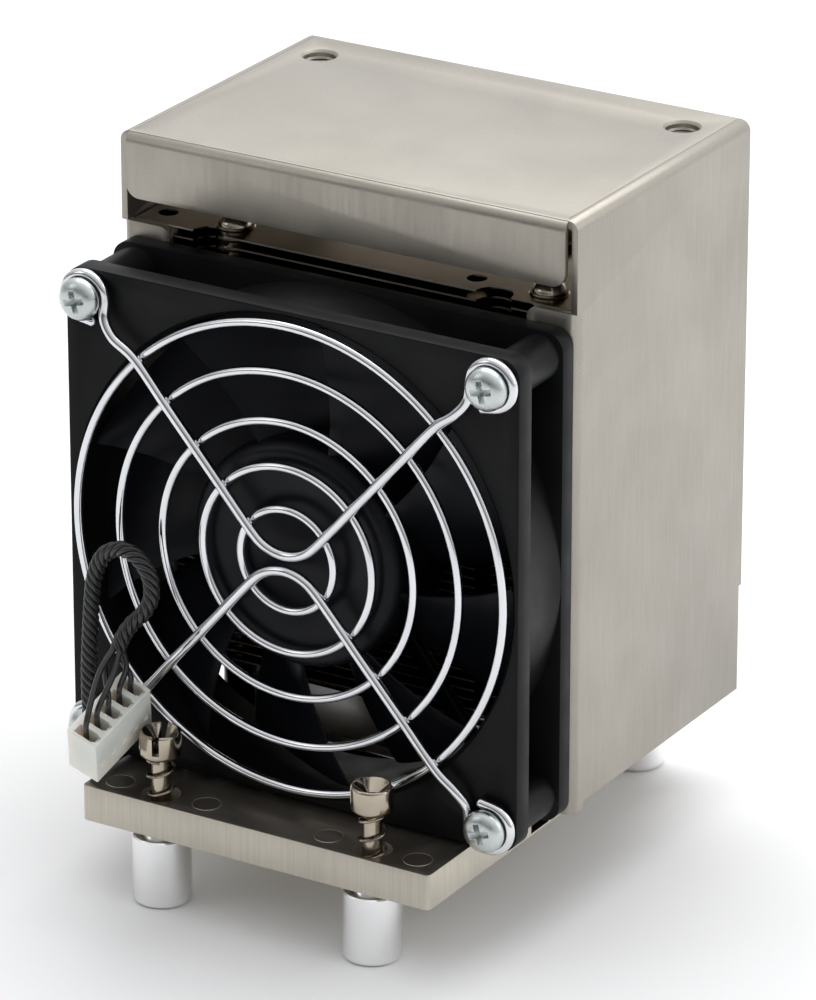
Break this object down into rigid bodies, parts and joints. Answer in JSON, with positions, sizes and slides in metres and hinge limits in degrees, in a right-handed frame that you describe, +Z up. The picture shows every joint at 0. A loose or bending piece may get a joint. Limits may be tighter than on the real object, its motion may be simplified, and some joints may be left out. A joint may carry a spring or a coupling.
{
  "type": "processor cooler",
  "caption": "Workstation processor cooler: plated base, captive screws, heat pipes, fin stack in a sheet shroud, and a guarded front fan with its lead.",
  "frame": {"origin": "centre of the base plate's contact face, its underside", "axes": "+Z up, away from the processor; -Y to the front, where the fan draws air in; +X to the right seen from the front"},
  "size_m": [0.093, 0.1144, 0.133],
  "materials": {
    "plated_base": "nickel-plated, vertical brushing on the edges, mirror-like on top",
    "bright_sleeve": "bright drawn",
    "nickel_screw": "bright nickel with a warm tone",
    "spring_steel": "drawn wire",
    "plated_pipe": "nickel-plated, polished",
    "plated_fin": "nickel-plated thin sheet",
    "sheet_shroud": "satin plated sheet",
    "fan_plastic": "moulded, fine satin grain",
    "bearing_steel": "ground",
    "magnet": "matt ferrite",
    "copper_winding": "enamelled wire",
    "circuit_board": "solder mask",
    "guard_chrome": "bright chrome plating",
    "zinc_screw": "bluish zinc plating",
    "white_nylon": "moulded nylon",
    "terminal_metal": "tinned brass",
    "wire_jacket": "black insulation, soft sheen"
  },
  "bodies": {
    "cooler": {"base_plate": "plated_base", "base_pin_1": "plated_base", "base_pin_2": "plated_base", "base_pin_3": "plated_base", "base_pin_4": "plated_base", "sleeve_front_left": "bright_sleeve", "screw_spring_front_left": "spring_steel", "sleeve_front_right": "bright_sleeve", "screw_spring_front_right": "spring_steel", "sleeve_rear_left": "bright_sleeve", "screw_spring_rear_left": "spring_steel", "sleeve_rear_right": "bright_sleeve", "screw_spring_rear_right": "spring_steel", "heat_pipe_1": "plated_pipe", "fin_pack_1": "plated_fin", "heat_pipe_2": "plated_pipe", "fin_pack_2": "plated_fin", "heat_pipe_3": "plated_pipe", "fin_pack_3": "plated_fin", "top_fin": "plated_fin", "shroud": "sheet_shroud", "fan_frame": "fan_plastic", "stator": "copper_winding", "motor_board": "circuit_board", "bearing_front": "bearing_steel", "bearing_rear": "bearing_steel", "finger_guard": "guard_chrome", "guard_screw_upper_left": "zinc_screw", "guard_screw_upper_right": "zinc_screw", "guard_screw_lower_left": "zinc_screw", "guard_screw_lower_right": "zinc_screw", "connector_housing": "white_nylon", "terminal_1": "terminal_metal", "lead_wire_1": "wire_jacket", "terminal_2": "terminal_metal", "lead_wire_2": "wire_jacket", "terminal_3": "terminal_metal", "lead_wire_3": "wire_jacket", "terminal_4": "terminal_metal", "lead_wire_4": "wire_jacket", "terminal_5": "terminal_metal", "lead_wire_5": "wire_jacket", "fan_lead": "wire_jacket"},
    "fan_rotor": {"impeller": "fan_plastic", "fan_shaft": "bearing_steel", "rotor_yoke": "bearing_steel", "rotor_magnet": "magnet"},
    "clip_front_left": {"retaining_clip_front_left": "spring_steel"},
    "screw_front_left": {"captive_screw_front_left": "nickel_screw"},
    "clip_front_right": {"retaining_clip_front_right": "spring_steel"},
    "screw_front_right": {"captive_screw_front_right": "nickel_screw"},
    "clip_rear_left": {"retaining_clip_rear_left": "spring_steel"},
    "screw_rear_left": {"captive_screw_rear_left": "nickel_screw"},
    "clip_rear_right": {"retaining_clip_rear_right": "spring_steel"},
    "screw_rear_right": {"captive_screw_rear_right": "nickel_screw"}
  },
  "joints": [
    {"name": "fan_spin", "type": "hinge", "parent": "cooler", "child": "fan_rotor", "pos_m": [0, -0.03, 0.05386], "axis": [0, -1, 0], "continuous": true},
    {"name": "screw_press_front_left", "type": "slide", "parent": "cooler", "child": "clip_front_left", "axis": [0, 0, -1], "range_m": [0, 0.006], "stiffness_N_per_m": 2500, "springref_m": -0.001, "deforming": ["screw_spring_front_left"]},
    {"name": "screw_turn_front_left", "type": "hinge", "parent": "clip_front_left", "child": "screw_front_left", "pos_m": [-0.022, -0.0472, 0], "axis": [0, 0, -1], "continuous": true},
    {"name": "screw_press_front_right", "type": "slide", "parent": "cooler", "child": "clip_front_right", "axis": [0, 0, -1], "range_m": [0, 0.006], "stiffness_N_per_m": 2500, "springref_m": -0.001, "deforming": ["screw_spring_front_right"]},
    {"name": "screw_turn_front_right", "type": "hinge", "parent": "clip_front_right", "child": "screw_front_right", "pos_m": [0.022, -0.0472, 0], "axis": [0, 0, -1], "continuous": true},
    {"name": "screw_press_rear_left", "type": "slide", "parent": "cooler", "child": "clip_rear_left", "axis": [0, 0, -1], "range_m": [0, 0.006], "stiffness_N_per_m": 2500, "springref_m": -0.001, "deforming": ["screw_spring_rear_left"]},
    {"name": "screw_turn_rear_left", "type": "hinge", "parent": "clip_rear_left", "child": "screw_rear_left", "pos_m": [-0.022, 0.0472, 0], "axis": [0, 0, -1], "continuous": true},
    {"name": "screw_press_rear_right", "type": "slide", "parent": "cooler", "child": "clip_rear_right", "axis": [0, 0, -1], "range_m": [0, 0.006], "stiffness_N_per_m": 2500, "springref_m": -0.001, "deforming": ["screw_spring_rear_right"]},
    {"name": "screw_turn_rear_right", "type": "hinge", "parent": "clip_rear_right", "child": "screw_rear_right", "pos_m": [0.022, 0.0472, 0], "axis": [0, 0, -1], "continuous": true}
  ]
}
